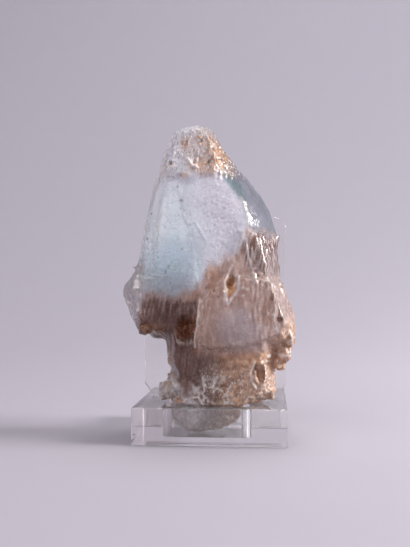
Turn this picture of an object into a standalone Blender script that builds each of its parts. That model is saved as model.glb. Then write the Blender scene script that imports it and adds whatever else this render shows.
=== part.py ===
"""A two-coloured topaz crystal held upright in a clear display stand.

The stand is a square block with a milled pocket for the crystal's foot, and an upright panel whose
tab sits in a slot behind the pocket. The crystal stands in the pocket and leans on the panel.
X runs to the right, Y away from the viewer and Z up. The origin is the middle of the block's
underside. Lengths below are in millimetres.
"""

import math
import random

import bmesh
import bpy
from mathutils import Vector

MM = 0.001
GAP = 0.3

BLOCK_SIDE = 50.0
BLOCK_HEIGHT = 12.0
BLOCK_CORNER = 0.5
BLOCK_EDGE = 0.4
CUT_OVERSHOOT = 1.0

POCKET_LENGTH = 28.8
POCKET_WIDTH = 18.0
POCKET_RADIUS = 4.5
POCKET_X = -1.0
POCKET_Y = -12.0
POCKET_FLOOR = 2.4

PANEL_WIDTH = 50.0
PANEL_THICKNESS = 3.0
PANEL_FRONT = 2.0
PANEL_TOP = 75.0
PANEL_CORNER = 4.0
PANEL_SHOULDER = 16.5
TAB_WIDTH = 44.0
TAB_FLOOR = 3.0
SLOT_CORNER = 0.2
PANEL_EDGE = 0.25

CRYSTAL_FOOT = POCKET_FLOOR + GAP
CRYSTAL_TOP = 105.8
CRYSTAL_BACK = PANEL_FRONT - GAP
OVERHANG = BLOCK_HEIGHT + 0.4
SCALLOPS = 20


def clear_scene():
    for obj in list(bpy.data.objects):
        bpy.data.objects.remove(obj)


def material(name, colour, roughness, ior, transmission):
    mat = bpy.data.materials.new(name)
    mat.use_nodes = True
    shader = mat.node_tree.nodes["Principled BSDF"]
    shader.inputs["Base Color"].default_value = (*colour, 1.0)
    shader.inputs["Roughness"].default_value = roughness
    shader.inputs["Metallic"].default_value = 0.0
    shader.inputs["IOR"].default_value = ior
    shader.inputs["Transmission Weight"].default_value = transmission
    return mat


def new_object(name, bm, mat=None):
    """An object from this mesh, which is written in millimetres."""
    bmesh.ops.recalc_face_normals(bm, faces=bm.faces)
    bmesh.ops.scale(bm, vec=(MM, MM, MM), verts=bm.verts)
    mesh = bpy.data.meshes.new(name)
    bm.to_mesh(mesh)
    bm.free()
    if mat:
        mesh.materials.append(mat)
    obj = bpy.data.objects.new(name, mesh)
    bpy.context.scene.collection.objects.link(obj)
    return obj


def helper(obj):
    obj.hide_render = True
    obj.display_type = "WIRE"
    return obj


def boolean(obj, operation, other, solver="EXACT"):
    modifier = obj.modifiers.new(operation.title(), "BOOLEAN")
    modifier.operation = operation
    modifier.solver = solver
    modifier.object = other


def bevel(obj, width):
    modifier = obj.modifiers.new("Edge", "BEVEL")
    modifier.width = width * MM
    modifier.segments = 1
    modifier.limit_method = "ANGLE"
    modifier.angle_limit = math.radians(40)


def extruded(outline, direction, distance):
    """A prism: the outline is a list of points, swept along the direction."""
    bm = bmesh.new()
    face = bm.faces.new([bm.verts.new(point) for point in outline])
    swept = bmesh.ops.extrude_face_region(bm, geom=[face])
    moved = [item for item in swept["geom"] if isinstance(item, bmesh.types.BMVert)]
    bmesh.ops.translate(bm, vec=Vector(direction) * distance, verts=moved)
    return bm


def rounded_rectangle(width, depth, radius, segments=8):
    """Corner points, counter-clockwise, round the origin."""
    points = []
    for quarter in range(4):
        side_x = 1 if quarter in (0, 3) else -1
        side_y = 1 if quarter in (0, 1) else -1
        for step in range(segments + 1):
            angle = math.radians(90 * (quarter + step / segments))
            x = side_x * (width / 2 - radius) + radius * math.cos(angle)
            y = side_y * (depth / 2 - radius) + radius * math.sin(angle)
            points.append((x, y))
    return points


def base_block(mat):
    """The square block with the crystal's pocket and the panel's slot cut into its top."""
    outline = [(x, y, 0) for x, y in rounded_rectangle(BLOCK_SIDE, BLOCK_SIDE, BLOCK_CORNER, 1)]
    block = new_object("base_block", extruded(outline, (0, 0, 1), BLOCK_HEIGHT), mat)
    bevel(block, BLOCK_EDGE)

    above = BLOCK_HEIGHT + CUT_OVERSHOOT
    outline = [
        (x + POCKET_X, y + POCKET_Y, POCKET_FLOOR)
        for x, y in rounded_rectangle(POCKET_LENGTH, POCKET_WIDTH, POCKET_RADIUS)
    ]
    pocket = extruded(outline, (0, 0, 1), above - POCKET_FLOOR)
    boolean(block, "DIFFERENCE", helper(new_object("pocket_cutter", pocket)))

    slot_y = PANEL_FRONT + PANEL_THICKNESS / 2
    slot_floor = TAB_FLOOR - GAP
    corners = rounded_rectangle(TAB_WIDTH + 2 * GAP, PANEL_THICKNESS + 2 * GAP, SLOT_CORNER, 1)
    slot = extruded([(x, y + slot_y, slot_floor) for x, y in corners], (0, 0, 1), above - slot_floor)
    boolean(block, "DIFFERENCE", helper(new_object("slot_cutter", slot)))


def back_panel(mat):
    """Upright sheet with rounded top corners and a tab below chamfered shoulders."""
    half = PANEL_WIDTH / 2
    tab = TAB_WIDTH / 2
    right = [(tab, TAB_FLOOR), (tab, OVERHANG), (half, PANEL_SHOULDER)]
    for step in range(7):
        angle = math.radians(90 * step / 6)
        x = half - PANEL_CORNER + PANEL_CORNER * math.cos(angle)
        z = PANEL_TOP - PANEL_CORNER + PANEL_CORNER * math.sin(angle)
        right.append((x, z))
    outline = right + [(-x, z) for x, z in reversed(right)]
    sheet = extruded([(x, PANEL_FRONT, z) for x, z in outline], (0, 1, 0), PANEL_THICKNESS)
    bevel(new_object("back_panel", sheet, mat), PANEL_EDGE)


def hull(corners):
    """The flat-faced convex solid round these corners."""
    bm = bmesh.new()
    for corner in corners:
        bm.verts.new(corner)
    made = bmesh.ops.convex_hull(bm, input=bm.verts)
    inside = [item for item in made["geom_interior"] if isinstance(item, bmesh.types.BMVert)]
    bmesh.ops.delete(bm, geom=inside, context="VERTS")
    return bm


def cleave(bm, point, normal):
    """Break off what lies beyond this plane and close the break with a flat face."""
    geometry = bm.verts[:] + bm.edges[:] + bm.faces[:]
    bmesh.ops.bisect_plane(bm, geom=geometry, plane_co=point, plane_no=normal, clear_outer=True)
    rim = [edge for edge in bm.edges if edge.is_boundary]
    if rim:
        bmesh.ops.holes_fill(bm, edges=rim)


def cleave_outline(bm, outline, edge_y, to_front=25.0, to_back=30.0):
    """Give the body the convex outline of these (x, z) points, which run clockwise from the front.

    Each side is two flat faces that meet at edge_y, turned by these angles to the front and back.
    A third number at a point is the angle to the front of the side that starts there.
    """
    for start, end in zip(outline, outline[1:]):
        out = Vector((start[1] - end[1], 0, end[0] - start[0])).normalized()
        front_turn = start[2] if len(start) > 2 else to_front
        for turn, way in ((front_turn, -1), (to_back, 1)):
            angle = math.radians(turn)
            normal = out * math.cos(angle) + Vector((0, way * math.sin(angle), 0))
            cleave(bm, (start[0], edge_y, start[1]), normal)


def striated(x_range, z_range, fronts, back, pitch, depth, seed, lean=0.0):
    """A slab whose front has upright ridges.

    The fronts are the depths of its face at the foot and the head of the slab. The ridges lean
    sideways by this much on their way up.
    """
    rng = random.Random(seed)
    (x_low, x_high), (z_low, z_high) = x_range, z_range
    profile = [(x_low, 0.0)]
    x = x_low
    while x < x_high - 1.6 * pitch:
        x += pitch * rng.uniform(0.55, 1.45)
        crest = depth * rng.uniform(0.35, 1.0)
        profile.append((x - 0.35 * pitch, crest))
        profile.append((x, crest * rng.uniform(0.0, 0.5)))
    profile.append((x_high, 0.0))
    bm = bmesh.new()
    rings = []
    for z, front, shift in ((z_low, fronts[0], 0.0), (z_high, fronts[1], lean)):
        ring = [(x + shift, front - crest, z) for x, crest in profile]
        ring += [(x_high + shift, back, z), (x_low + shift, back, z)]
        rings.append([bm.verts.new(point) for point in ring])
    low, high = rings
    for step in range(len(low)):
        after = (step + 1) % len(low)
        bm.faces.new([low[step], low[after], high[after], high[step]])
    bm.faces.new(low)
    bm.faces.new(high)
    return bm


def lump(centre, size, seed, count=14):
    """A small irregular crystal: the hull of seeded points on an ellipsoid."""
    rng = random.Random(seed)
    corners = []
    for _ in range(count):
        direction = Vector([rng.gauss(0, 1) for _ in range(3)]).normalized()
        reach = rng.uniform(0.85, 1.0)
        corners.append([c + d * s * reach for c, d, s in zip(centre, direction, size)])
    return hull(corners)


def upper_crystal():
    """The smooth blue upper two thirds, tapering to the tip."""
    left_edge = [(-25.8, -9.5, 58), (-24.8, -9.5, 65), (-20.7, -9, 84), (-17.5, -8.5, 93)]
    left_edge += [(-15.3, -8.5, 98)]
    right_edge = [(22.3, -8, 60), (22.3, -8, 67), (19.7, -8, 76), (16.4, -8, 81.5), (3.6, -8.5, 97.5)]
    front_left = [(-20, -17.5, 53), (-19.6, -17.8, 66), (-16.8, -15.6, 83), (-13, -13, 98)]
    front_ridge = [(-6, -22.8, 50), (-5.5, -22.6, 66), (-5, -19.6, 81), (-5, -14.8, 98)]
    front_right = [(12, -21.4, 52), (13.4, -19.8, 70), (10, -17.6, 80), (5, -15.2, 90), (0, -13.4, 98)]
    back = [(-17, 0.5, 56), (-14, 0.5, 82), (-8, -2.5, 98), (14, 1.2, 56), (12.5, 1.2, 73), (5.5, -0.5, 86)]
    back += [(-2, -3, 98)]
    below = [(-23, -9.5, 42), (-17, -17, 43), (-6, -20.2, 41), (17, -17, 44), (21.5, -8, 44), (14, 1, 44)]
    below += [(-16, 0.5, 44)]
    bm = hull(left_edge + right_edge + front_left + front_ridge + front_right + back + below)
    cleave(bm, (-5.5, -22.0, 66), (-0.08, -1, 0.0))
    cleave(bm, (16.6, -13.4, 78), (0.8, -0.62, 0.62))
    cleave(bm, (-22.8, -12.5, 76), (-0.93, -0.5, 0.22))
    return bm


def tip():
    """The fluted, stained end of the crystal, standing a little proud of the faces below it."""
    bm = striated((-20, 12), (84, CRYSTAL_TOP), (-19.4, -12.9), -4, 2.2, 0.8, 3, lean=3.0)
    outline = [
        (-7, 85.4, 6), (-19.0, 88.6, 20), (-15.2, 99.3), (-12.8, 103.8), (-9.4, 105.2),
        (-4.9, CRYSTAL_TOP), (-1.6, 105), (0.8, 102.9), (3.5, 97.8), (7.4, 87.6, 6), (-7, 85.4),
    ]
    cleave_outline(bm, outline, -8.5, 22, 30)
    return bm


def shoulder():
    """The glassy knob at the left, with its own upright ridges."""
    bm = striated((-31, -19), (36, 58), (-18.0, -19.2), -2, 1.6, 0.6, 8, lean=-1.5)
    outline = [
        (-22, 35.4), (-25.7, 36.2), (-27.3, 40.2), (-29.2, 44.1), (-30.3, 48), (-29.8, 51),
        (-27.9, 54.1), (-26, 57.2, 40), (-19, 57.9),
    ]
    cleave_outline(bm, outline, -10.5, 27, 35)
    return bm


def left_recess():
    """The dark brown, striated hollow side below the blue."""
    bm = striated((-27, 4), (24, 54), (-17.4, -19.8), 0.8, 1.9, 0.6, 9, lean=-1.0)
    outline = [(4, 24), (-16, 28.0), (-20.2, 33.2), (-23.2, 33.5), (-25.6, 36.4), (-26, 57)]
    cleave_outline(bm, outline, -9.5, 22, 30)
    return bm


def right_upper_block():
    """The brown striated face below the blue at the right."""
    bm = striated((0, 24), (46, 71), (-23.0, -21.0), -2, 1.4, 0.6, 5, lean=-3.0)
    outline = [(2.2, 46, 5), (10.4, 70.6, 6), (22, 68.2, 26), (22.6, 66, 20), (23.2, 50)]
    cleave_outline(bm, outline, -9, 20, 30)
    return bm


def right_lower_block():
    """The proud striated block at the right, with a ledge down its left side."""
    bm = striated((-6, 30), (28, 59), (-24.2, -23.7), -1.5, 1.4, 0.6, 6, lean=-2.5)
    outline = [
        (11, 28.2, 10), (-3, 28.8, 12), (-4.1, 30, 2), (-3.6, 46, 6), (6.6, 57.4, 14), (20.6, 56, 14),
        (23.4, 52.5), (27.9, 40.5), (28.2, 35.5, 20), (26, 30.5, 24), (20, 28.4, 14), (11, 28.2),
    ]
    cleave_outline(bm, outline, -10, 15, 30)
    return bm


def upper_neck():
    """The reddish part that spreads towards the block above it."""
    bm = striated((-18, 30), (19, 42), (-20.6, -22.6), 0.6, 2.4, 0.35, 12)
    cleave_outline(bm, [(-14.9, 18), (-15.2, 24.6), (-19.4, 33), (-19.4, 42)], -9.5, 20, 30)
    cleave_outline(bm, [(27.4, 42), (27.2, 29.4), (23.4, 24.6), (21.4, 22), (21.2, 18)], -9.5, 18, 30)
    return bm


def lower_neck():
    """The narrowest part, just above the pocket."""
    bm = striated((-19, 23), (OVERHANG, 25), (-21.2, -20.6), 0.2, 2.4, 0.35, 13)
    cleave_outline(bm, [(-15.4, OVERHANG), (-15.6, 15), (-14.6, 22), (-14.6, 25)], -9.5, 24, 30)
    cleave_outline(bm, [(21.6, 25), (21.4, 18), (19.6, 13.4), (18, OVERHANG)], -9.5, 18, 30)
    return bm


def foot():
    """The rounded end that stands in the pocket."""
    low = CRYSTAL_FOOT
    ring = [(-14.6, -12, 8.6), (-13.4, -16.5, 9.5), (-13.4, -7.5, 9.5), (9.1, -16, 7), (9.1, -8, 7)]
    ring += [(11.2, -12, 9.6), (-12, -18.5, 15), (-12, -5.5, 15), (10.5, -19, 15), (10.5, -5.5, 15)]
    ring += [(-2, -20.2, 11), (-2, -4.5, 11)]
    under = [(-11.8, -12, 4.9), (-7.8, -15, 3.4), (-7.8, -9, 3.4), (3.7, -15, 4.2), (3.7, -8, 4.2)]
    under += [(-2.7, -13.5, low), (-2.7, -9.5, low), (-5, -12, low)]
    return hull(ring + under)


def knobs():
    """Named lumps: middle, half sizes, seed and number of corners."""
    return {
        "glassy_knob": lump((-14.4, -13.5, 16.2), (4.9, 5.4, 3.8), 21, 30),
        "glassy_knob_front": lump((-12.0, -17.6, 17.4), (3.6, 3.2, 3.2), 22, 20),
        "glassy_knob_low": lump((-8.2, -18.8, 14.4), (3.8, 2.6, 1.9), 23, 20),
        "rusty_rim_high": lump((25.4, -14.0, 34.0), (2.9, 5.2, 4.2), 24, 22),
        "rusty_rim_middle": lump((24.4, -14.5, 29.0), (3.4, 5.0, 3.6), 25, 22),
        "rusty_rim_low": lump((22.4, -12.0, 25.2), (3.0, 5.0, 2.8), 26, 20),
        "left_bump": lump((-26.8, -9.6, 57.4), (1.4, 1.6, 1.3), 27, 14),
        "ochre_corner": lump((-22.4, -14.5, 36.8), (3.2, 4.0, 2.8), 28, 18),
        "right_bump": lump((22.0, -8.6, 67.2), (1.2, 1.8, 1.6), 29, 14),
        "right_foot": lump((18.2, -14.0, 16.0), (3.7, 6.0, 3.5), 30, 30),
        "middle_foot": lump((5.0, -19.0, 14.8), (6.0, 2.9, 2.3), 32, 26),
        "back_knob": lump((-2.0, -3.5, 17.0), (8.0, 4.0, 4.4), 33, 24),
    }


def plate(outline, face_y, root_y, spread=1.2):
    """A low growth plate: this (x, z) outline at face_y, wider by spread times at root_y."""
    middle_x = sum(x for x, _ in outline) / len(outline)
    middle_z = sum(z for _, z in outline) / len(outline)
    corners = [(x, face_y, z) for x, z in outline]
    for x, z in outline:
        corners.append((middle_x + spread * (x - middle_x), root_y, middle_z + spread * (z - middle_z)))
    return hull(corners)


def back_plates():
    """Growth steps on the side that leans on the panel, and one on the right side."""
    tall = [(-13, 30), (-3, 27), (1, 44), (0, 62), (-6, 72), (-12, 60)]
    wide = [(3, 24), (15, 26), (17, 38), (12, 54), (4, 50)]
    low = [(-14, 14), (-2, 14), (0, 22), (-8, 26), (-15, 20)]
    high = [(-12, 76), (-2, 74), (4, 82), (-3, 94), (-9, 92)]
    side = [(24.6, -13.5, 42), (23.2, -14.5, 52), (22.9, -9, 54), (25.2, -6.5, 46), (27.4, -8, 39)]
    side += [(27.6, -12, 37), (18, -12, 40), (18, -8, 50)]
    return {
        "back_plate_tall": plate(tall, CRYSTAL_BACK, -2.5),
        "back_plate_wide": plate(wide, CRYSTAL_BACK - 0.5, -2.5),
        "back_plate_low": plate(low, CRYSTAL_BACK - 0.9, -2.5),
        "back_plate_high": plate(high, -0.4, -5.0, 1.3),
        "side_plate": hull(side),
    }


def scallops():
    """Shallow chips in the rough lower end."""
    rng = random.Random(34)
    made = {}
    for step in range(SCALLOPS):
        across = -9 + 28 * step / SCALLOPS + rng.uniform(-0.8, 0.8)
        centre = (across, -22.2, rng.uniform(13.5, 26.5))
        size = rng.uniform(1.8, 3.2)
        made[f"scallop_{step}"] = lump(centre, (size, 1.9, size * 0.8), 40 + step, 18)
    return made


def pit(outline, front, bottom):
    """A cutter that narrows from this (x, z) outline at the front to a point inside."""
    return hull([(x, front, z) for x, z in outline] + [bottom])


def pits():
    """The deeper holes and hollows of the front."""
    oval = [(16.6, 27.4), (19.6, 24.5), (18.8, 19), (15.6, 17.6), (13.6, 21.4), (14.4, 26)]
    hollow = [(-13, 46.5), (-4.3, 45), (-4.3, 30.5), (-12, 30), (-17, 38)]
    diamond = [(7.2, 59.6), (9.9, 53.8), (6.4, 44.8), (4.7, 51.4)]
    small = [(21.4, 41.8), (24, 41.4), (23.6, 39.4), (21.6, 39.2)]
    rust = [(-11.6, 15.2), (-9.0, 14.8), (-9.4, 12.6), (-11.4, 12.9)]
    return {
        "diamond_pit": pit(diamond, -27, (7.2, -18.6, 53)),
        "small_hole": pit(small, -27, (22.6, -15.5, 40.5)),
        "oval_pit": pit(oval, -24.4, (16.6, -15.5, 22.5)),
        "rust_hole": pit(rust, -23, (-10.4, -15.5, 13.8)),
        "dark_hollow": pit(hollow, -25, (-7.0, -13.8, 38)),
    }


def topaz_crystal(mat):
    """All growths joined into one crystal, with the chips and pits taken out of it."""
    crystal = new_object("topaz_crystal", upper_crystal(), mat)
    growths = {
        "tip": tip(),
        "shoulder": shoulder(),
        "left_recess": left_recess(),
        "right_upper_block": right_upper_block(),
        "right_lower_block": right_lower_block(),
        "upper_neck": upper_neck(),
        "lower_neck": lower_neck(),
        "foot": foot(),
        **knobs(),
        **back_plates(),
    }
    for name, bm in growths.items():
        boolean(crystal, "UNION", helper(new_object(name, bm)), "MANIFOLD")
    for name, bm in (scallops() | pits()).items():
        boolean(crystal, "DIFFERENCE", helper(new_object(name, bm)), "MANIFOLD")


def main():
    clear_scene()
    acrylic = material("clear_acrylic", (0.93, 0.92, 0.94), 0.05, 1.49, 1.0)
    topaz = material("bicolour_topaz", (0.62, 0.55, 0.56), 0.25, 1.62, 0.85)
    base_block(acrylic)
    back_panel(acrylic)
    topaz_crystal(topaz)


main()
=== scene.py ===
"""Looks for a two-coloured topaz crystal that stands in a clear display stand.

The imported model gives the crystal, the base block and the back panel their places and sizes. This
script gives the crystal its growth lines, steps, pits and stains, and the stand its polished and
milled surfaces. Lengths in the functions are in millimetres unless a name ends in _m.
"""

import math

import bmesh
import bpy
import numpy as np
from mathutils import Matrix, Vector, noise


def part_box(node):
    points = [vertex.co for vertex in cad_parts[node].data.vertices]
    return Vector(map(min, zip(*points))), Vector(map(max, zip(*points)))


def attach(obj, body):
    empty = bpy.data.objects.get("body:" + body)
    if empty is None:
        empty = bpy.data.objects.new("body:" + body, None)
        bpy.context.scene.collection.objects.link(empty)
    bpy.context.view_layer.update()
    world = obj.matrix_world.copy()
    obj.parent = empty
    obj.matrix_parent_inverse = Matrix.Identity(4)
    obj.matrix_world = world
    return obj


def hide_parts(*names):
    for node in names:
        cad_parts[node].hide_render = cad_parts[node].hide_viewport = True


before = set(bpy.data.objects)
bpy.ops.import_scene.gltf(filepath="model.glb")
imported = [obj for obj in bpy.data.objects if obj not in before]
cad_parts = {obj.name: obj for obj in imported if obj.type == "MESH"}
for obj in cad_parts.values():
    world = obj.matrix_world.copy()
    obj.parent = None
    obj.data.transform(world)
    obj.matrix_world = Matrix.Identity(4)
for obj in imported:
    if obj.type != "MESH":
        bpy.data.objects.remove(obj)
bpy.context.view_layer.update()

MM = 0.001

CRYSTAL_LOW, CRYSTAL_HIGH = (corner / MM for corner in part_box("topaz_crystal"))
BLOCK_LOW, BLOCK_HIGH = (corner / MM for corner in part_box("base_block"))
PANEL_LOW, PANEL_HIGH = (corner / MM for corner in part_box("back_panel"))

CRYSTAL_VOXEL = 0.41
RELAX_ROUNDS = 80

# The block's cuts and the panel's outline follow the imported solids, with rounder edges.
GAP = 0.3
BLOCK_CORNER = 0.5
BLOCK_EDGE = 0.35
POCKET_CENTRE = (-1.0, -12.0)
POCKET_LENGTH = 28.8
POCKET_WIDTH = 18.0
POCKET_RADIUS = 4.5
POCKET_FLOOR = 2.4
CUTTER_HEIGHT = 11.0
TAB_WIDTH = 44.0
TAB_TOP = BLOCK_HIGH.z + 0.4
SLOT_CENTRE = (0.0, (PANEL_LOW.y + PANEL_HIGH.y) / 2)
SLOT_LENGTH = TAB_WIDTH + 2 * GAP
SLOT_WIDTH = PANEL_HIGH.y - PANEL_LOW.y + 2 * GAP
SLOT_CORNER = 0.3
SLOT_FLOOR = PANEL_LOW.z - GAP
PANEL_SHOULDER = 16.5
PANEL_CORNER = 4.0
PANEL_EDGE = 0.2

# Painted shadow: the left end of the block is tinted grey, where the crystal's shadow shows through the
# acrylic. The tint starts and is full at these places along x.
SHADOW_TINT_START_M = -0.007
SHADOW_TINT_FULL_M = -0.013

# The photograph's viewpoint.
SENSOR_MM = 36.0
LENS_MM = 49.93
CAMERA_PLACE_M = (0.0191, -0.2656, 0.0521)
CAMERA_TILT_DEG = 90.693
CAMERA_TURN_DEG = 4.805
LIGHT_BOUNCES = 24

# The stain reaches up to this line of (x, z) points on the front view.
STAIN_LINE = [
    (-31, 50), (-20, 49.5), (-11, 48), (-6, 50), (-2.5, 52),
    (0, 58), (5, 60), (9.5, 62), (11.8, 69.8), (24, 68),
]

# Lines that stand proud of the front, or are sunk in it: (x, z) points, half width and height.
RIDGES = {
    "wing_outer": ([(-13.7, 100.8), (-16.3, 93.8), (-17.4, 91.4), (-20.0, 83.1)], 0.8, 0.35),
    "wing_inner": ([(-12.0, 103.0), (-15.0, 96.4), (-16.3, 93.8)], 0.6, 0.3),
    "tip_ledge": ([(-14.4, 87.9), (-11.3, 88.1)], 0.6, 0.4),
    "tip_crest": ([(-7.4, 92.6), (-6.1, 90.7), (-4.2, 90.0)], 0.8, 0.7),
    "streak_high": ([(-8.7, 74.6), (-6.8, 71.1)], 0.5, 0.35),
    "streak_low": ([(-4.5, 71.7), (-1.3, 65.9)], 0.5, 0.25),
    "fold_left": ([(-12.0, 82.0), (-10.4, 77.0), (-7.6, 70.0), (-5.8, 61.0), (-6.4, 54.0)], 2.4, -0.25),
    "tongue_edge": ([(-5.8, 65.9), (-4.8, 60.0), (-5.0, 55.6), (-2.9, 50.4)], 0.9, 0.25),
    "block_ridge": ([(11.7, 65.9), (12.6, 60.1), (15.2, 52.0)], 0.6, 0.6),
    "block_ridge_mid": ([(14.9, 67.2), (16.8, 58.8)], 0.45, 0.2),
    "block_ridge_right": ([(17.4, 67.4), (19.9, 58.0)], 0.45, 0.2),
    "knob_top": ([(-17.2, 17.0), (-15.4, 19.6), (-12.6, 19.8), (-11.4, 18.2)], 0.6, 0.4),
    "knob_fold": ([(-14.6, 18.6), (-14.9, 15.6), (-13.6, 13.4)], 0.5, 0.4),
    "knob_side": ([(-17.4, 16.4), (-17.2, 14.6), (-15.8, 12.8)], 0.5, 0.4),
    "plate_top": ([(-8.8, 13.2), (-6.6, 14.6), (-3.6, 15.0), (-2.6, 13.0)], 0.5, 0.4),
    "block_step": ([(13.0, 55.8), (17.0, 55.8), (19.2, 52.6)], 0.6, -0.6),
    "diamond_rim": ([(7.6, 57.6), (5.0, 52.6), (5.2, 47.1), (6.0, 45.0), (9.4, 49.9), (9.6, 54)], 0.7, 0.5),
    "ledge_rim": ([(-3.0, 46.5), (-3.5, 38.4), (-4.3, 35.8), (-4.5, 31.3)], 0.7, 0.45),
    "neck_ridge": ([(-2.3, 21.5), (-1.7, 17.0)], 0.6, 0.7),
    "oval_rim": ([(14.6, 26.6), (13.2, 23.2), (13.5, 20.6), (14.9, 18.0)], 0.6, 0.45),
    "scallop_left": ([(1.0, 16.7), (2.6, 18.0), (3.9, 17.0)], 0.5, 0.5),
    "scallop_middle": ([(5.2, 16.0), (6.2, 18.0), (6.8, 19.2)], 0.5, 0.45),
    "scallop_right": ([(11.3, 13.5), (12.6, 15.4), (14.6, 15.1)], 0.5, 0.5),
    "hole_rim": ([(20.9, 42.2), (20.6, 40.4), (21.3, 38.4), (21.6, 36.8)], 0.5, 0.35),
}

# Ridges at least this high get a painted highlight along their rim.
HIGHLIGHT_RIDGE = 0.3

# Small clear facets on the front that catch the light; each stands proud and gets a painted highlight: (x, z,
# radius).
GLINTS = [
    (3.3, 86.6, 0.9), (4.4, 88.6, 0.8), (2.2, 84.2, 0.7), (5.2, 90.6, 0.7), (1.0, 64.9, 0.6),
    (5.2, 65.2, 0.6), (6.2, 59.4, 0.5), (9.7, 68.8, 0.6), (0.0, 70.7, 0.4), (-7.4, 62.6, 0.6),
    (-5.5, 69.8, 0.4), (10.7, 50.4, 0.7), (12.0, 49.8, 0.6), (11.0, 48.0, 0.5), (17.2, 51.3, 0.6),
    (18.9, 53.0, 0.6), (20.4, 41.6, 0.6), (21.0, 37.4, 0.6), (19.2, 28.2, 0.9), (18.7, 26.6, 0.7),
    (5.8, 13.5, 0.7), (9.4, 20.6, 0.5), (-26.3, 47.3, 0.6), (-24.0, 43.0, 0.7), (-25.4, 50.5, 0.5),
    (3.0, 72.5, 0.4), (7.2, 74.6, 0.4),
]

# Small dark pits and flecks on the front: (x, z, half width, half height).
FLECKS = [
    (-9.6, 79.1, 1.0, 0.28), (-11.0, 83.7, 0.35, 0.35), (-21.4, 66.8, 0.35, 0.35),
    (-20.4, 75.3, 0.4, 0.3), (-14.5, 55.8, 0.3, 0.5), (-13.6, 57.4, 0.3, 0.4), (-12.6, 58.8, 0.25, 0.4),
    (-11.9, 57.3, 0.2, 0.3), (-14.2, 56.7, 0.2, 0.3), (-9.0, 62.9, 0.4, 0.4), (-13.1, 91.7, 0.7, 0.9),
    (-3.3, 99.4, 0.6, 0.9), (1.2, 96.4, 0.6, 0.7), (3.0, 93.4, 0.5, 0.6), (4.6, 92.0, 0.6, 0.5),
    (-0.6, 92.0, 0.5, 0.9), (-8.0, 99.0, 0.3, 0.9), (-5.6, 96.0, 0.3, 0.8), (22.0, 62.4, 0.4, 0.5),
    (1.6, 49.4, 0.5, 0.5), (0.2, 48.4, 0.4, 0.4), (-1.0, 50.4, 0.35, 0.4), (3.0, 47.4, 0.4, 0.4),
    (15.0, 24.8, 0.7, 1.4),
]


def smooth(value, low, high):
    """0 at low and 1 at high, with an even change between them. High may be below low."""
    t = np.clip((value - low) / (high - low), 0.0, 1.0)
    return t * t * (3 - 2 * t)


def most(*amounts):
    """The greatest of these amounts at each point, from 0 to 1."""
    return np.clip(np.maximum.reduce(amounts), 0.0, 1.0)


def noise_at(places, size, shift=0.0, stretch=(1, 1, 1)):
    """Smooth noise from about -1 to 1, with features of this size, drawn out along an axis."""
    scaled = places / (size * np.array(stretch)) + shift
    return np.array([noise.noise(place) for place in scaled.tolist()])


def leaning(places, lean):
    """The places, moved sideways so that lines which lean this much become upright."""
    moved = places.copy()
    moved[:, 0] -= lean * places[:, 2]
    return moved


def growth_lines(places, pitch, lean):
    """Height from about -1 to 1 of sharp upright ridges."""
    upright = leaning(places, lean)
    broad = noise_at(upright, pitch, 0.0, (1, 5, 18))
    fine = noise_at(upright, 0.42 * pitch, 9.0, (1, 8, 20))
    return 0.8 - 3.2 * np.abs(broad) + 0.6 * fine


def terraces(places, size, levels, shift):
    """Flat steps with steep risers, such as a crystal face grows."""
    value = levels * (noise_at(places, size, shift) + 0.35 * noise_at(places, size / 2.3, shift))
    level = np.floor(value)
    return (level + smooth(value - level, 0.0, 0.3)) / levels


def cells(places, size, shift):
    """The places in cells, the distances to the two nearest scattered points, and the nearest one."""
    scaled = places / size + shift
    near = [noise.voronoi(place) for place in scaled.tolist()]
    first = np.array([distances[0] for distances, _ in near])
    second = np.array([distances[1] for distances, _ in near])
    middle = np.array([points[0] for _, points in near])
    return scaled, first, second, middle


def cups(places, size, shift):
    """Shallow hollows with sharp rims between them, as on a chipped or dissolved end."""
    _, first, second, _ = cells(places, size, shift)
    return np.minimum(first * 1.3, 1.0) ** 2 + 0.5 * smooth(second - first, 0.2, 0.0)


def facets(places, size, shift):
    """Small flat faces, each tipped its own way, as on broken or etched crystal."""
    scaled, _, _, middle = cells(places, size, shift)
    x, y, z = middle.T
    slope = np.stack([np.sin(43.7 * one + 17.3 * other) for one, other in ((x, y), (y, z), (z, x))], 1)
    return np.sum(slope * (scaled - middle), axis=1)


def crease(x, z, line):
    """The distance from a line of (x, z) points."""
    nearest = np.full(x.shape, np.inf)
    for (x0, z0), (x1, z1) in zip(line, line[1:]):
        run, rise = x1 - x0, z1 - z0
        part = np.clip(((x - x0) * run + (z - z0) * rise) / (run * run + rise * rise), 0.0, 1.0)
        nearest = np.minimum(nearest, np.hypot(x - x0 - part * run, z - z0 - part * rise))
    return nearest


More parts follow.
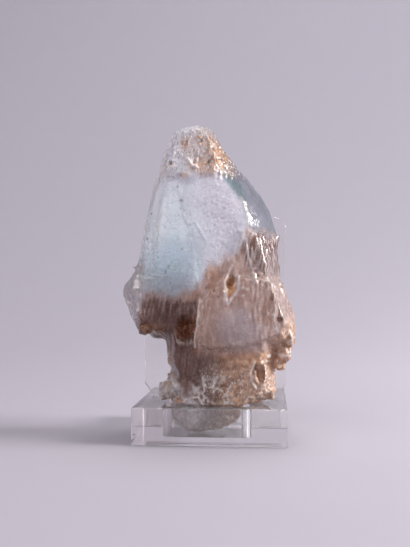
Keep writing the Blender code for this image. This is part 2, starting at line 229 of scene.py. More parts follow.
class Surface:
    """The crystal's points and normals, with how much of each growth or stain is at each point."""

    def __init__(self, places, normals):
        self.places = places
        self.normals = normals
        self.x, self.y, self.z = places.T
        self.front = smooth(normals[:, 1], 0.25, -0.25)
        self.wander = 2.2 * noise_at(places, 5.0) + 0.9 * noise_at(places, 1.7)

    def patch(self, middle, half, lean=0.0, soft=0.6):
        """1 inside a soft ellipse on the front view and 0 outside it. It leans on its way up."""
        x, z = self.x - middle[0], self.z - middle[1]
        reach = np.hypot((x - lean * z) / half[0], z / half[1]) + 0.06 * self.wander
        return smooth(reach, 1 + soft, 1 - soft)

    def find_regions(self):
        """The parts of the crystal that several zones share."""
        x, z, wander, patch = self.x, self.z, self.wander, self.patch
        self.upper = smooth(z, 83, 87)
        self.to_right = smooth(self.normals[:, 0], 0.35, 0.75)
        line = np.interp(x, *np.array(STAIN_LINE, float).T)
        self.brown = smooth(z + wander, line + 1.8, line - 2.4)
        self.shoulder = patch((-27.2, 49), (5.6, 11), 0.1, 0.25)
        upper_knob = patch((-14.2, 15.6), (5.4, 5.6), soft=0.2)
        lower_knob = patch((-8.5, 9.6), (6.6, 5.4), soft=0.25)
        self.knob = most(upper_knob, lower_knob)
        self.neck = smooth(z + wander, 31, 27)
        self.right_facet = smooth(z, 60, 66) * smooth(self.normals[:, 0], 0.45, 0.7)
        self.upper_block = patch((17.5, 62.5), (8, 8), -0.15, 0.3)
        self.right_rim = patch((25.5, 31), (5.2, 9.5), 0.1, 0.4)
        left = smooth(x + 0.15 * wander, -3.0, -4.4)
        below_stain = smooth(z + wander, 51, 45) * smooth(z, 22, 26)
        self.dark_side = left * below_stain * (1 - self.shoulder)

    def blue(self):
        patch = self.patch
        return most(
            patch((-13.5, 64), (10.5, 20), 0.18, 0.7),
            0.8 * patch((-6.4, 58), (4.2, 11), 0.0, 0.5),
            0.5 * patch((16.8, 73.0), (7, 4.0), -0.5, 0.5),
        )

    def smoke_and_shade(self):
        """How dark the crystal is: smoky brown, with painted shade in the recess on the left and on the
        key-lit right of the tip.
        """
        x, z, wander, patch = self.x, self.z, self.wander, self.patch
        bare_neck = self.neck * (1 - self.knob)
        fade = smooth(z + wander, 64, 46) * smooth(x, -3, -8) * (1 - self.shoulder)
        return most(
            # Painted shade: the recess on the left is painted near black, partly its smoky brown and partly
            # the shade that falls in it.
            self.dark_side * (0.95 + 0.05 * patch((-8, 38), (6, 8), 0, 0.5)),
            0.97 * bare_neck * smooth(x + wander, 6, -4) * smooth(z, 15, 19),
            0.86 * bare_neck * smooth(x, 14, 2),
            # Partly painted shade: the tip's right, lit by the key, is darkened along with its darker stain.
            0.52 * patch((3.8, 94), (4.0, 7.0), -0.5, 0.4),
            0.58 * patch((18.5, 62), (7, 6.5), -0.15, 0.4) * self.brown,
            0.30 * patch((4, 33), (8, 6)) * self.brown,
            0.50 * fade,
            0.45 * self.shoulder,
        )

    def rust(self):
        """Iron stain on the tip, in the pits, on the ledges and at the foot."""
        patch = self.patch
        return most(
            patch((-8.6, 98.4), (1.6, 2.6), 0, 0.4),
            patch((-3.8, 99.8), (1.3, 2.2), 0, 0.4),
            0.9 * patch((1.6, 95.0), (3.4, 6.6), -0.5, 0.5),
            patch((-1.8, 91.2), (5.8, 3.2), 0, 0.4),
            0.42 * patch((-3.4, 97.0), (6.6, 7.0), 0, 0.4),
            0.6 * patch((-8.6, 87.6), (1.8, 1.0), 0, 0.5),
            0.7 * patch((-13.2, 91.2), (1.0, 1.0), 0, 0.5),
            0.9 * patch((25.5, 31), (4.8, 9), 0.1, 0.4) * self.brown,
            0.5 * patch((0.7, 53.5), (2.4, 5.5), 0, 0.4),
            patch((6.8, 51.0), (1.9, 3.6), -0.1, 0.3) * self.front,
            0.35 * patch((17.5, 40.2), (4, 1.0), 0, 0.5),
            0.25 * patch((-20.2, 37.0), (5.0, 2.0), 0, 0.4),
            0.30 * patch((-5.8, 48.0), (4.2, 1.8), 0, 0.4),
            0.75 * self.neck * smooth(self.x + self.wander, -2, 8) * (1 - self.knob),
            0.7 * self.neck * patch((-14.8, 24), (1.8, 8), 0, 0.4),
            0.65 * patch((16.4, 22.5), (2.4, 4.4), 0, 0.4),
            0.9 * patch((-10.3, 13.9), (1.6, 1.3), 0, 0.3) * self.front,
            0.4 * patch((-4.0, 36.5), (0.9, 7.5), 0.05, 0.5),
        )

    def lined(self):
        """Where pale threads run up the brown part."""
        amount = most(
            self.upper_block,
            0.6 * self.patch((20.5, 48), (6.5, 13), -0.15, 0.3),
            0.35 * self.dark_side * smooth(self.z, 39, 44),
            0.12 * self.neck * (1 - self.knob),
        )
        return amount * self.brown * (0.25 + 0.75 * self.front)

    def lines(self):
        """Where the surface has growth ridges."""
        x, z = self.x, self.z
        return most(
            smooth(x + 0.3 * self.wander, -4.5, -3.0) * smooth(z, 27, 30) * self.brown,
            0.9 * self.dark_side,
            0.5 * self.shoulder,
            0.3 * self.neck * (1 - self.knob),
            0.8 * smooth(z, 84, 88) * self.front,
        )

    def speckled(self):
        """Where small light and dark specks are scattered."""
        x, z, clear_part = self.x, self.z, 1 - self.brown
        return most(
            0.4 * self.patch((5.5, 73), (9.0, 12), -0.3, 0.4) * clear_part,
            0.4 * self.patch((12.5, 74.0), (3.0, 7), -0.45, 0.4) * clear_part,
            smooth(z, 86, 90),
            0.8 * self.neck * smooth(x, -8, 2) * smooth(z, 29, 22),
            0.8 * self.right_rim,
            0.7 * self.knob,
            0.3 * self.shoulder,
        )

    def milky(self):
        return most(
            0.6 * self.knob,
            0.5 * self.patch((-20.5, 80), (3.5, 14), 0.25, 0.4),
            0.35 * self.patch((-18, 70), (5, 9), 0, 0.6),
        )

    def clear(self):
        """Where the surface is glassy."""
        wing = self.patch((-20.4, 86), (2.6, 16), -0.31, 0.3)
        return most(self.shoulder, self.knob, 0.7 * wing, self.right_facet)

    def rough(self):
        """Where the surface is chipped."""
        return most(
            0.9 * self.neck * smooth(self.x, -6, 4) * (1 - self.knob),
            0.7 * self.right_rim,
            0.4 * smooth(self.z, 84, 90),
            0.5 * self.knob,
        )

    def shade(self):
        """Painted shade: the faces that look towards the key light, above the foot, are darkened."""
        to_key = smooth(self.normals @ np.array((0.9, 0.05, 0.42)), 0.18, 0.62)
        return to_key * (0.5 * smooth(self.z, 32, 40) + 0.5 * smooth(self.z, 50, 58))

    def zones(self):
        """How much of each look there is at each point, by name."""
        self.find_regions()
        patch, brown, clear_part = self.patch, self.brown, 1 - self.brown
        streaks = (0.3 + 0.35 * smooth(self.x, 12, 16)) * brown
        return {
            "brown": brown * (1 - self.shoulder) * (1 - 0.9 * self.knob),
            "dark": self.smoke_and_shade(),
            "blue": self.blue() * clear_part,
            "deep": patch((-14, 57), (8.5, 9), 0.1, 0.6) * (1 - self.shoulder) * clear_part,
            "teal": patch((7.6, 85.0), (2.2, 6.0), -0.62, 0.3) * clear_part,
            "rust": self.rust(),
            "streaks": most(self.upper_block, 0.8 * self.dark_side, streaks),
            "lined": self.lined(),
            "speckled": self.speckled(),
            "lines": self.lines(),
            "clear": self.clear(),
            "rough": self.rough(),
            "etched": patch((4, 72), (7.0, 11), -0.2, 0.4) * clear_part,
            "slate": self.right_facet * clear_part,
            "lilac": 0.6 * patch((0.5, 78), (8.5, 9), -0.3, 0.6) * clear_part,
            "milky": self.milky(),
            "pale": 0.8 * patch((9.5, 37.5), (7, 6.5), 0, 0.5) * brown,
            "shade": self.shade(),
        }

    def growth_relief(self, zone):
        """The height of the growth ridges, whose lean and pitch change from part to part."""
        places, x, upper = self.places, self.x, self.upper
        lines = growth_lines(places, pitch=1.5, lean=-0.165) * smooth(x, -5, -3) * (1 - upper)
        lines += growth_lines(places, pitch=1.6, lean=0.03) * smooth(x, -3, -5) * (1 - upper)
        lines += growth_lines(places, pitch=1.1, lean=0.12) * upper
        upright = smooth(np.abs(self.normals[:, 2]), 0.85, 0.5)
        fine = 1 - 0.5 * self.patch((17.5, 62), (8, 8), -0.15, 0.4)
        return 0.20 * fine * zone["lines"] * upright * (1 - 0.8 * self.to_right) * lines

    def relief(self, zone):
        """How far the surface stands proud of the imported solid, before the limits near the stand."""
        places, x, z = self.places, self.x, self.z
        glassy = smooth(z, 55, 62) * (1 - 0.6 * self.upper)
        plain = (1 - 0.7 * zone["lines"]) * (1 - 0.75 * glassy)
        whole = 1 - zone["rough"]
        height = self.growth_relief(zone)
        height += 0.5 * plain * (1 - 0.6 * zone["rough"]) * terraces(places, size=12.0, levels=6, shift=3.0)
        height += 0.14 * (1 - 0.5 * glassy) * noise_at(places, size=3.1)
        height -= 0.5 * zone["rough"] * cups(places, size=2.4, shift=5.0)
        height += 0.4 * zone["rough"] * facets(places, size=1.5, shift=2.0)
        height += 0.22 * whole * (1 - 0.8 * glassy) * facets(places, size=3.6, shift=7.0)
        height += 0.04 * glassy * self.to_right * facets(places, size=1.3, shift=4.0)
        height += 0.16 * zone["etched"] * facets(places, size=1.2, shift=4.0)
        for line, width, proud in RIDGES.values():
            height += proud * self.front * smooth(crease(x, z, line), width, 0.0)
        for mark_x, mark_z, radius in GLINTS:
            height += 0.3 * self.front * smooth(np.hypot(x - mark_x, z - mark_z), radius, 0.0)
        for mark_x, mark_z, half_x, half_z in FLECKS:
            reach = np.hypot((x - mark_x) / half_x, (z - mark_z) / half_z)
            height -= 0.35 * self.front * smooth(reach, 1.3, 0.2)
        return height

    def chip_rim_highlights(self):
        """Painted highlights on the rims between the chips of the foot and the right rim."""
        _, first, second, _ = cells(self.places, size=2.3, shift=11.0)
        foot = self.patch((6, 16.5), (13, 5.5), 0, 0.3)
        right_rim = self.patch((25.5, 31), (5, 9), 0.1, 0.3)
        return most(foot, right_rim) * smooth(second - first, 0.22, 0.06) * smooth(self.wander, 0.0, 0.8)

    def marks(self):
        """Painted highlights on the rims and facets, and the dark flecks, as two more zones."""
        x, z = self.x, self.z
        painted_highlight = self.chip_rim_highlights()
        for line, width, proud in RIDGES.values():
            if proud >= HIGHLIGHT_RIDGE:
                painted_highlight = np.maximum(painted_highlight, smooth(crease(x, z, line), 0.7 * width, 0.1 * width))
        for mark_x, mark_z, radius in GLINTS:
            reach = np.hypot(x - mark_x, z - mark_z)
            painted_highlight = np.maximum(painted_highlight, smooth(reach, radius, 0.3 * radius))
        fleck = np.zeros(len(x))
        for mark_x, mark_z, half_x, half_z in FLECKS:
            reach = np.hypot((x - mark_x) / half_x, (z - mark_z) / half_z)
            fleck = np.maximum(fleck, smooth(reach, 1.1, 0.6))
        return {"painted_highlight": painted_highlight * self.front, "fleck": fleck * self.front}


def even_mesh(source, voxel):
    """A copy of this object's mesh made of small even faces."""
    copy = bpy.data.objects.new("even_copy", source.data.copy())
    bpy.context.scene.collection.objects.link(copy)
    remesh = copy.modifiers.new("Even mesh", "REMESH")
    remesh.mode = "VOXEL"
    remesh.voxel_size = voxel * MM
    graph = bpy.context.evaluated_depsgraph_get()
    mesh = bpy.data.meshes.new_from_object(copy.evaluated_get(graph))
    bpy.data.objects.remove(copy)
    return mesh


def mesh_arrays(mesh):
    """Places in millimetres, normals, and the pairs of points that edges join."""
    places = np.empty(len(mesh.vertices) * 3)
    mesh.vertices.foreach_get("co", places)
    normals = np.empty(len(mesh.vertices) * 3)
    mesh.vertices.foreach_get("normal", normals)
    edges = np.empty(len(mesh.edges) * 2, int)
    mesh.edges.foreach_get("vertices", edges)
    return places.reshape(-1, 3) / MM, normals.reshape(-1, 3), edges.reshape(-1, 2)


def move_points(mesh, places):
    mesh.vertices.foreach_set("co", (places * MM).ravel())
    mesh.update()


def relaxed(places, edges, share, rounds):
    """The places, each drawn towards its neighbours' middle by its share, this many times."""
    first, second = edges.T
    ends = np.concatenate([first, second])
    count = np.bincount(ends, minlength=len(places))
    for _ in range(rounds):
        middle = np.empty_like(places)
        for axis in range(3):
            weights = np.concatenate([places[second, axis], places[first, axis]])
            middle[:, axis] = np.bincount(ends, weights, len(places)) / count
        places = places + share[:, None] * (middle - places)
    return places


def even_crystal():
    """The crystal's solid as a fine even mesh, with some of the joins between its parts rounded off."""
    mesh = even_mesh(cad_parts["topaz_crystal"], CRYSTAL_VOXEL)
    mesh.name = "topaz"
    places, normals, edges = mesh_arrays(mesh)
    base = Surface(places, normals)
    seam = base.front * smooth(base.z, 81, 84) * smooth(base.z, 92, 89)
    blue_side = 0.8 * smooth(base.z, 54, 60) * smooth(base.z, 92, 86) * smooth(base.x, 10, 4)
    hollow = base.front * base.patch((-8, 38), (9, 12), 0, 0.3)
    under_block = base.front * smooth(base.z, 25, 27.5) * smooth(base.z, 32, 30)
    edge = base.patch((9.5, 76), (4.5, 11), -0.5, 0.4)
    share = 0.5 * most(seam, blue_side, hollow, under_block, edge)
    move_points(mesh, relaxed(places, edges, share, RELAX_ROUNDS))
    return mesh


def limited(surface, height):
    """The relief, held down where the crystal stands in the block or leans on the panel."""
    near_block = smooth(surface.z, BLOCK_HIGH.z + 3, BLOCK_HIGH.z + 1)
    near_panel = smooth(surface.y, PANEL_LOW.y - 3.5, PANEL_LOW.y - 1.8)
    held = np.maximum(near_block, near_panel)
    return held * np.minimum(height, 0.1) + (1 - held) * height


def refined_crystal():
    """The even mesh with its relief, its zones as point attributes and its material."""
    mesh = even_crystal()
    places, normals, _ = mesh_arrays(mesh)
    surface = Surface(places, normals)
    zone = surface.zones()
    height = limited(surface, surface.relief(zone))
    move_points(mesh, np.clip(places + height[:, None] * normals, CRYSTAL_LOW, CRYSTAL_HIGH))
    for name, amount in (zone | surface.marks()).items():
        attribute = mesh.attributes.new(name, "FLOAT", "POINT")
        attribute.data.foreach_set("value", amount)
    mesh.polygons.foreach_set("use_smooth", [True] * len(mesh.polygons))
    mesh.materials.clear()
    mesh.materials.append(topaz_material())
    mesh.update()
    return mesh


def shader_tree(name):
    """A new material with its node tree and its Principled shader."""
    material = bpy.data.materials.new(name)
    material.use_nodes = True
    return material, material.node_tree, material.node_tree.nodes["Principled BSDF"]


def add_node(tree, kind, inputs=(), **settings):
    """A node with these settings. Each input is a value, or another node's output to link."""
    made = tree.nodes.new(kind)
    for key, value in settings.items():
        setattr(made, key, value)
    for key, value in dict(inputs).items():
        if isinstance(value, bpy.types.NodeSocket):
            tree.links.new(value, made.inputs[key])
        else:
            made.inputs[key].default_value = value
    return made


def set_values(shader, values):
    """Plain values for the shader's inputs, by name."""
    for name, value in values.items():
        shader.inputs[name].default_value = value


def absorb(tree, colour, density):
    """Light that crosses the solid takes on this colour."""
    inputs = {"Color": (*colour, 1.0), "Density": density}
    volume = add_node(tree, "ShaderNodeVolumeAbsorption", inputs)
    tree.links.new(volume.outputs[0], tree.nodes["Material Output"].inputs["Volume"])


def blend(tree, factor, under, over):
    """The colour over laid on the colour under by this factor."""
    made = add_node(tree, "ShaderNodeMix", {"Factor": factor}, data_type="RGBA")
    for socket, value in ((made.inputs[6], under), (made.inputs[7], over)):
        if isinstance(value, bpy.types.NodeSocket):
            tree.links.new(value, socket)
        else:
            socket.default_value = (*value, 1.0)
    return made.outputs[2]


def combine(tree, operation, first, second, third=0.0):
    """One calculation with these values, with its result kept between 0 and 1."""
    made = add_node(tree, "ShaderNodeMath", {0: first, 1: second, 2: third}, operation=operation)
    made.use_clamp = True
    return made.outputs[0]


def tint(tree, under, amount, share, over):
    """The colour over laid on the colour under by this share of the amount."""
    return blend(tree, combine(tree, "MULTIPLY", amount, share), under, over)


def spread(tree, value, low, high, to_low=0.0, to_high=1.0):
    """A value stretched so that low becomes to_low and high becomes to_high, and no further."""
    inputs = {"Value": value, "From Min": low, "From Max": high, "To Min": to_low, "To Max": to_high}
    return add_node(tree, "ShaderNodeMapRange", inputs).outputs[0]


def place_node(tree):
    return add_node(tree, "ShaderNodeNewGeometry").outputs["Position"]


def noise_node(tree, place, size, detail=3.0, stretch=(1, 1, 1), lean=0.0):
    """Noise with features of about this size in millimetres, drawn out along an axis by stretch."""
    turned = add_node(tree, "ShaderNodeMapping", {"Vector": place, "Rotation": (0, lean, 0)})
    scale = [1 / (size * MM * part) for part in stretch]
    mapping = add_node(tree, "ShaderNodeMapping", {"Vector": turned.outputs[0], "Scale": scale})
    inputs = {"Vector": mapping.outputs[0], "Scale": 1.0, "Detail": detail}
    return add_node(tree, "ShaderNodeTexNoise", inputs).outputs[0]


def zone_value(tree, name):
    return add_node(tree, "ShaderNodeAttribute", attribute_name=name).outputs["Fac"]


def clear_part(tree, zone, pattern, blue):
    """Clear to pale blue, with milky, lilac and slate areas and thin wisps."""
    cloud = spread(tree, pattern["cloud"], 0.35, 0.68)
    colour = blend(tree, cloud, (0.70, 0.69, 0.77), (0.92, 0.91, 0.97))
    colour = blend(tree, blue, colour, (0.85, 0.97, 1.0))
    colour = tint(tree, colour, zone["deep"], 0.55, (0.58, 0.80, 0.93))
    colour = blend(tree, zone["milky"], colour, (0.95, 0.93, 0.94))
    colour = blend(tree, zone["lilac"], colour, (0.62, 0.57, 0.67))
    colour = tint(tree, colour, zone["slate"], 0.80, (0.42, 0.48, 0.62))
    wisp = spread(tree, pattern["wisp"], 0.50, 0.66, 0.0, 0.35)
    return blend(tree, wisp, colour, (0.62, 0.67, 0.78))


def smoky_part(tree, zone, pattern):
    """Brown with darker and lighter growth streaks, and a pale patch."""
    mottle = spread(tree, pattern["mottle"], 0.35, 0.68)
    plain_brown = blend(tree, mottle, (0.46, 0.28, 0.21), (0.74, 0.55, 0.48))
    streak = spread(tree, pattern["streak"], 0.44, 0.56)
    striped = blend(tree, streak, (0.32, 0.17, 0.12), (0.86, 0.68, 0.62))
    smoky = tint(tree, plain_brown, zone["streaks"], 0.85, striped)
    return blend(tree, zone["pale"], smoky, (0.58, 0.49, 0.50))


def stained(tree, colour, zone, pattern):
    """The colour with the dark smoke and painted shade, and the rust, laid on it."""
    streak = spread(tree, pattern["streak"], 0.42, 0.62, 1.0, 0.90)
    dark = combine(tree, "MULTIPLY", zone["dark"], streak)
    # Near-black brown: the smoke, with painted shade in the left recess and on the tip's right.
    colour = blend(tree, dark, colour, (0.085, 0.018, 0.004))
    fibre = spread(tree, pattern["fibre"], 0.36, 0.60, 0.40, 1.0)
    rust = combine(tree, "MULTIPLY", zone["rust"], fibre)
    mottle = spread(tree, pattern["mottle"], 0.42, 0.6)
    return blend(tree, rust, colour, blend(tree, mottle, (0.44, 0.17, 0.05), (0.86, 0.46, 0.20)))


def topaz_colour(tree, zone, pattern, amount):
    """The crystal's colour: the clear and the smoky part, then what lies on them, with painted shade on the
    faces towards the key light and painted highlights.
    """
    above = clear_part(tree, zone, pattern, amount["blue"])
    colour = blend(tree, zone["brown"], above, smoky_part(tree, zone, pattern))
    colour = tint(tree, colour, zone["teal"], 0.9, (0.24, 0.43, 0.47))
    # Painted shade: the faces that look towards the key light are darkened.
    colour = tint(tree, colour, zone["shade"], 0.72, (0.08, 0.07, 0.08))
    colour = stained(tree, colour, zone, pattern)
    colour = blend(tree, amount["thread"], colour, (0.94, 0.80, 0.76))
    colour = blend(tree, amount["light_speck"], colour, (1.0, 0.97, 0.95))
    colour = blend(tree, amount["dark_speck"], colour, (0.26, 0.22, 0.21))
    # Painted highlights on the ridge rims, chip rims and glints.
    colour = tint(tree, colour, zone["painted_highlight"], 0.75, (1.0, 0.98, 0.97))
    return tint(tree, colour, zone["fleck"], 0.9, (0.06, 0.03, 0.02))


def topaz_roughness(tree, zone, pattern):
    """Satin where etched, glassy where clear and duller where chipped or speckled."""
    rough = spread(tree, pattern["mottle"], 0.3, 0.7, 0.16, 0.34)
    for name, change in (("clear", -0.14), ("rough", 0.12), ("speckled", 0.16)):
        rough = combine(tree, "MULTIPLY_ADD", zone[name], change, rough)
    return rough


def topaz_bump(tree, pattern, amount):
    """Fine grain and streaks, fainter in the blue, with raised threads and specks."""
    half_streak = combine(tree, "MULTIPLY", pattern["streak"], 0.5)
    height = combine(tree, "MULTIPLY_ADD", pattern["grain"], 0.5, half_streak)
    height = combine(tree, "MULTIPLY", height, combine(tree, "MULTIPLY_ADD", amount["blue"], -0.8, 1.0))
    height = combine(tree, "ADD", height, combine(tree, "MULTIPLY", amount["light_speck"], 0.3))
    height = combine(tree, "ADD", height, combine(tree, "MULTIPLY", amount["thread"], 0.4))
    return add_node(tree, "ShaderNodeBump", {"Strength": 0.35, "Distance": 0.0002, "Height": height})


def topaz_material():
    """Clear to blue above, iron-stained and smoky below, with fine streaks and etched patches, and with
    painted shade and painted highlights in its colour.
    """
    material, tree, shader = shader_tree("topaz_growth")
    place = place_node(tree)
    names = ["brown", "dark", "blue", "deep", "teal", "rust", "milky", "streaks", "lined", "speckled"]
    names += ["clear", "rough", "pale", "slate", "lilac", "shade", "painted_highlight", "fleck"]
    zone = {name: zone_value(tree, name) for name in names}
    pattern = {
        "cloud": noise_node(tree, place, 7.0, 4),
        "mottle": noise_node(tree, place, 2.2, 5),
        "grain": noise_node(tree, place, 0.7, 3),
        "wisp": noise_node(tree, place, 1.7, 3, (1, 1, 7), -0.12),
        "streak": noise_node(tree, place, 0.65, 2, (1, 1, 16), -0.16),
        "fibre": noise_node(tree, place, 0.55, 2, (1, 1, 5), 0.1),
        "thread": noise_node(tree, place, 0.62, 1, (1, 1, 24), -0.16),
        "light_speck": noise_node(tree, place, 0.42, 1, (1, 1, 2.4), 0.2),
        "dark_speck": noise_node(tree, place, 0.5, 1, (1, 1, 2.2), -0.3),
    }
    shares = {
        "blue": (zone["blue"], spread(tree, pattern["cloud"], 0.2, 0.55, 0.35, 1.0)),
        "thread": (zone["lined"], spread(tree, pattern["thread"], 0.53, 0.60, 0.0, 0.62)),
        "light_speck": (zone["speckled"], spread(tree, pattern["light_speck"], 0.57, 0.65, 0.0, 0.9)),
        "dark_speck": (zone["speckled"], spread(tree, pattern["dark_speck"], 0.55, 0.63, 0.0, 0.7)),
    }
    amount = {name: combine(tree, "MULTIPLY", *pair) for name, pair in shares.items()}

    tree.links.new(topaz_colour(tree, zone, pattern, amount), shader.inputs["Base Color"])
    tree.links.new(topaz_roughness(tree, zone, pattern), shader.inputs["Roughness"])
    bump = topaz_bump(tree, pattern, amount)
    tree.links.new(bump.outputs[0], shader.inputs["Normal"])
    tree.links.new(bump.outputs[0], shader.inputs["Coat Normal"])
    set_values(shader, {"IOR": 1.62, "Transmission Weight": 0.60, "Specular IOR Level": 0.24})
    set_values(shader, {"Coat Weight": 0.08, "Coat Roughness": 0.14, "Coat IOR": 1.6})
    absorb(tree, (0.75, 0.66, 0.62), 3.0)
    return material


def milled_inside(tree, place):
    """1 on the milled walls of the block's pocket and slot, and 0 on its polished outside."""
    parts = add_node(tree, "ShaderNodeSeparateXYZ", {"Vector": place})
    inside = 1.0
    reaches = (BLOCK_HIGH.x - 1.5, BLOCK_HIGH.y - 1.5, BLOCK_HIGH.z - 0.1)
    for part, reach in zip(parts.outputs, reaches):
        distance = combine(tree, "ABSOLUTE", part, 0.0)
        inside = combine(tree, "MULTIPLY", inside, combine(tree, "LESS_THAN", distance, reach * MM))
    above_base = combine(tree, "GREATER_THAN", parts.outputs["Z"], MM)
    return combine(tree, "MULTIPLY", inside, above_base)


def acrylic_material(name, has_cuts):
    """Clear acrylic with smudges and a polished outside. Milled cuts are left finely matt, and the block's
    left end has a painted shadow.
    """
    material, tree, shader = shader_tree(name)
    place = place_node(tree)
    smudge = noise_node(tree, place, 9.0, 4)
    colour = blend(tree, spread(tree, smudge, 0.3, 0.7), (0.955, 0.945, 0.950), (0.98, 0.975, 0.975))
    rough = spread(tree, smudge, 0.35, 0.7, 0.01, 0.05)
    lines = noise_node(tree, place, 0.5, 2, (1, 1, 6))
    if has_cuts:
        across = add_node(tree, "ShaderNodeSeparateXYZ", {"Vector": place}).outputs["X"]
        # Painted shadow: a grey tint towards the left end of the block.
        painted_shadow = spread(tree, across, SHADOW_TINT_START_M, SHADOW_TINT_FULL_M)
        colour = blend(tree, painted_shadow, colour, (0.82, 0.79, 0.80))
        milled = milled_inside(tree, place)
        rough = combine(tree, "MULTIPLY_ADD", milled, 0.015, rough)
        ring = noise_node(tree, place, 0.35, 2, (8, 8, 1))
        lines = combine(tree, "MULTIPLY_ADD", milled, ring, combine(tree, "MULTIPLY", lines, 0.2))
    tree.links.new(colour, shader.inputs["Base Color"])
    tree.links.new(rough, shader.inputs["Roughness"])
    bump = add_node(tree, "ShaderNodeBump", {"Strength": 0.3, "Distance": 0.00002, "Height": lines})
    tree.links.new(bump.outputs[0], shader.inputs["Normal"])
    set_values(shader, {"IOR": 1.49, "Transmission Weight": 0.94})
    absorb(tree, (0.80, 0.76, 0.76), 3.0)
    return material


def rounded_rectangle(centre, width, depth, radius, segments):
    """Corner points, counter-clockwise."""
    points = []
    for quarter in range(4):
        side_x = 1 if quarter in (0, 3) else -1
        side_y = 1 if quarter in (0, 1) else -1
        for step in range(segments + 1):
            angle = math.radians(90 * (quarter + step / segments))
            x = centre[0] + side_x * (width / 2 - radius) + radius * math.cos(angle)
            y = centre[1] + side_y * (depth / 2 - radius) + radius * math.sin(angle)
            points.append((x, y))
    return points


def link_object(name, mesh):
    """An object of this mesh, in the scene."""
    obj = bpy.data.objects.new(name, mesh)
    bpy.context.scene.collection.objects.link(obj)
    return obj


def finished_mesh(name, bm):
    """The faces in bm as a mesh, pointing out."""
    bmesh.ops.recalc_face_normals(bm, faces=bm.faces)
    mesh = bpy.data.meshes.new(name)
    bm.to_mesh(mesh)
    bm.free()
    return mesh


def prism(name, outline, direction, distance, material):
    """An object swept from an outline of points along a direction."""
    bm = bmesh.new()
    face = bm.faces.new([bm.verts.new(Vector(point) * MM) for point in outline])
    swept = bmesh.ops.extrude_face_region(bm, geom=[face])
    moved = [item for item in swept["geom"] if isinstance(item, bmesh.types.BMVert)]
    bmesh.ops.translate(bm, vec=Vector(direction) * distance * MM, verts=moved)
    mesh = finished_mesh(name, bm)
    mesh.materials.append(material)
    return link_object(name, mesh)


def soften(obj, width):
    """A small rounded edge all round the piece."""
    modifier = obj.modifiers.new("Polished edge", "BEVEL")
    modifier.width = width * MM
    modifier.segments = 3
    modifier.limit_method = "ANGLE"
    modifier.angle_limit = math.radians(30)


def cut(obj, cutter):
    modifier = obj.modifiers.new("Cut", "BOOLEAN")
    modifier.operation = "DIFFERENCE"
    modifier.object = cutter


def settle(obj, cutters):
    """Apply the modifiers, shade only curved walls smooth and drop the cutters."""
    graph = bpy.context.evaluated_depsgraph_get()
    mesh = bpy.data.meshes.new_from_object(obj.evaluated_get(graph))
    obj.modifiers.clear()
    obj.data = mesh
    for cutter in cutters:
        bpy.data.objects.remove(cutter)
    mesh.polygons.foreach_set("use_smooth", [True] * len(mesh.polygons))
    mesh.set_sharp_from_angle(angle=math.radians(12))
    return obj


def upright_prism(name, corners, floor, height, material):
    """A prism on this floor, from an outline of (x, y) corners."""
    return prism(name, [(x, y, floor) for x, y in corners], (0, 0, 1), height, material)


def stand_block(acrylic):
    """The square block with the crystal's pocket and the panel's slot."""
    size = BLOCK_HIGH - BLOCK_LOW
    corners = rounded_rectangle((0, 0), size.x, size.y, BLOCK_CORNER, 4)
    block = upright_prism("stand_block", corners, BLOCK_LOW.z, size.z, acrylic)
    soften(block, BLOCK_EDGE)
    corners = rounded_rectangle(POCKET_CENTRE, POCKET_LENGTH, POCKET_WIDTH, POCKET_RADIUS, 20)
    pocket = upright_prism("pocket_cutter", corners, POCKET_FLOOR, CUTTER_HEIGHT, acrylic)
    corners = rounded_rectangle(SLOT_CENTRE, SLOT_LENGTH, SLOT_WIDTH, SLOT_CORNER, 4)
    slot = upright_prism("slot_cutter", corners, SLOT_FLOOR, CUTTER_HEIGHT, acrylic)
    cut(block, pocket)
    cut(block, slot)
    return settle(block, [pocket, slot])


def stand_panel(acrylic):
    """The upright sheet, with rounded top corners and chamfers down to its tab."""
    low, high = PANEL_LOW, PANEL_HIGH
    tab = TAB_WIDTH / 2
    right = [(tab, low.z), (tab, TAB_TOP), (high.x, PANEL_SHOULDER)]
    corner_x, corner_z, steps = high.x - PANEL_CORNER, high.z - PANEL_CORNER, 16
    for step in range(steps + 1):
        angle = math.radians(90 * step / steps)
        right.append((corner_x + PANEL_CORNER * math.cos(angle), corner_z + PANEL_CORNER * math.sin(angle)))
    outline = [(x, low.y, z) for x, z in right + [(-x, z) for x, z in reversed(right)]]
    panel = prism("stand_panel", outline, (0, 1, 0), high.y - low.y, acrylic)
    soften(panel, PANEL_EDGE)
    return settle(panel, [])


def paper_material():
    """Pale paper with very faint clouds."""
    material, tree, shader = shader_tree("pale_paper")
    cloud = noise_node(tree, place_node(tree), 30.0, 3)
    colour = blend(tree, cloud, (0.248, 0.230, 0.265), (0.257, 0.239, 0.272))
    tree.links.new(colour, shader.inputs["Base Color"])
    set_values(shader, {"Roughness": 0.8})
    return material


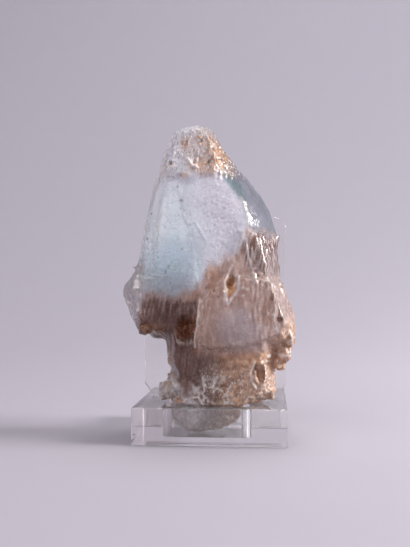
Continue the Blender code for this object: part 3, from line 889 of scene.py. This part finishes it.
def studio_bowl():
    """A pale floor that curves up into a round wall, so that every view has the same plain ground."""
    floor_m, curve_m, steps, turns = 0.3, 1.6, 32, 96
    below_block_m = 0.00002
    profile = [(0.0, 0.0), (0.1, 0.0), (0.2, 0.0), (floor_m, 0.0)]
    for step in range(1, steps + 1):
        angle = math.radians(90 * step / steps)
        profile.append((floor_m + curve_m * math.sin(angle), curve_m * (1 - math.cos(angle))))
    bm = bmesh.new()
    points = [bm.verts.new((radius, 0, height - below_block_m)) for radius, height in profile]
    edges = [bm.edges.new(pair) for pair in zip(points, points[1:])]
    whole_turn = {"axis": (0, 0, 1), "cent": (0, 0, 0), "angle": math.tau, "steps": turns}
    bmesh.ops.spin(bm, geom=points + edges, use_merge=True, **whole_turn)
    bmesh.ops.remove_doubles(bm, verts=bm.verts, dist=1e-6)
    mesh = finished_mesh("studio_bowl", bm)
    mesh.polygons.foreach_set("use_smooth", [True] * len(mesh.polygons))
    mesh.materials.append(paper_material())
    return link_object("studio_bowl", mesh)


def lamp_object(light, place_m, watts, colour):
    """This light in the scene, where the camera doesn't see it."""
    light.energy = watts
    light.color = colour
    lamp = link_object(light.name, light)
    lamp.location = place_m
    lamp.visible_camera = False
    return lamp


def area_light(name, place_m, target_m, size_m, watts, colour):
    """A soft square light that faces its target."""
    light = bpy.data.lights.new(name, "AREA")
    light.size = size_m
    lamp = lamp_object(light, place_m, watts, colour)
    lamp.rotation_euler = (Vector(target_m) - Vector(place_m)).to_track_quat("-Z", "Y").to_euler()


def ball_light(name, place_m, radius_m, watts, colour):
    """A soft round light that shines all ways."""
    light = bpy.data.lights.new(name, "POINT")
    light.shadow_soft_size = radius_m
    lamp_object(light, place_m, watts, colour)


def lighting():
    """A faint sky, a soft key light from the right, one on the background and a fill in front."""
    world = bpy.data.worlds.new("studio")
    world.use_nodes = True
    background = world.node_tree.nodes["Background"]
    background.inputs["Color"].default_value = (0.93, 0.93, 1.0, 1.0)
    background.inputs["Strength"].default_value = 0.16
    bpy.context.scene.world = world
    ball_light("key", (0.72, -0.03, 0.38), radius_m=0.17, watts=57.0, colour=(1.0, 0.985, 0.96))
    area_light("overhead", (0.2, 0.5, 1.7), (0.4, 1.3, 0.2), size_m=1.2, watts=33.0, colour=(0.98, 0.97, 1.0))
    area_light("fill", (-0.55, -1.1, 0.9), (0.0, 0.0, 0.05), size_m=1.7, watts=21.5, colour=(0.98, 0.98, 1.0))


def camera():
    data = bpy.data.cameras.new("camera")
    data.sensor_width = SENSOR_MM
    data.lens = LENS_MM
    data.clip_start = 0.001
    cam = link_object("camera", data)
    cam.location = CAMERA_PLACE_M
    cam.rotation_euler = (math.radians(CAMERA_TILT_DEG), 0, math.radians(CAMERA_TURN_DEG))
    bpy.context.scene.camera = cam


def main():
    crystal = link_object("topaz", refined_crystal())
    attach(crystal, "root")
    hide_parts("topaz_crystal")

    block = stand_block(acrylic_material("block_acrylic", True))
    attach(block, "root")
    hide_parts("base_block")

    panel = stand_panel(acrylic_material("panel_acrylic", False))
    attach(panel, "root")
    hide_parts("back_panel")

    studio_bowl()
    lighting()
    camera()
    scene = bpy.context.scene
    scene.view_settings.view_transform = "Standard"
    scene.cycles.max_bounces = LIGHT_BOUNCES
    scene.cycles.transmission_bounces = LIGHT_BOUNCES


main()
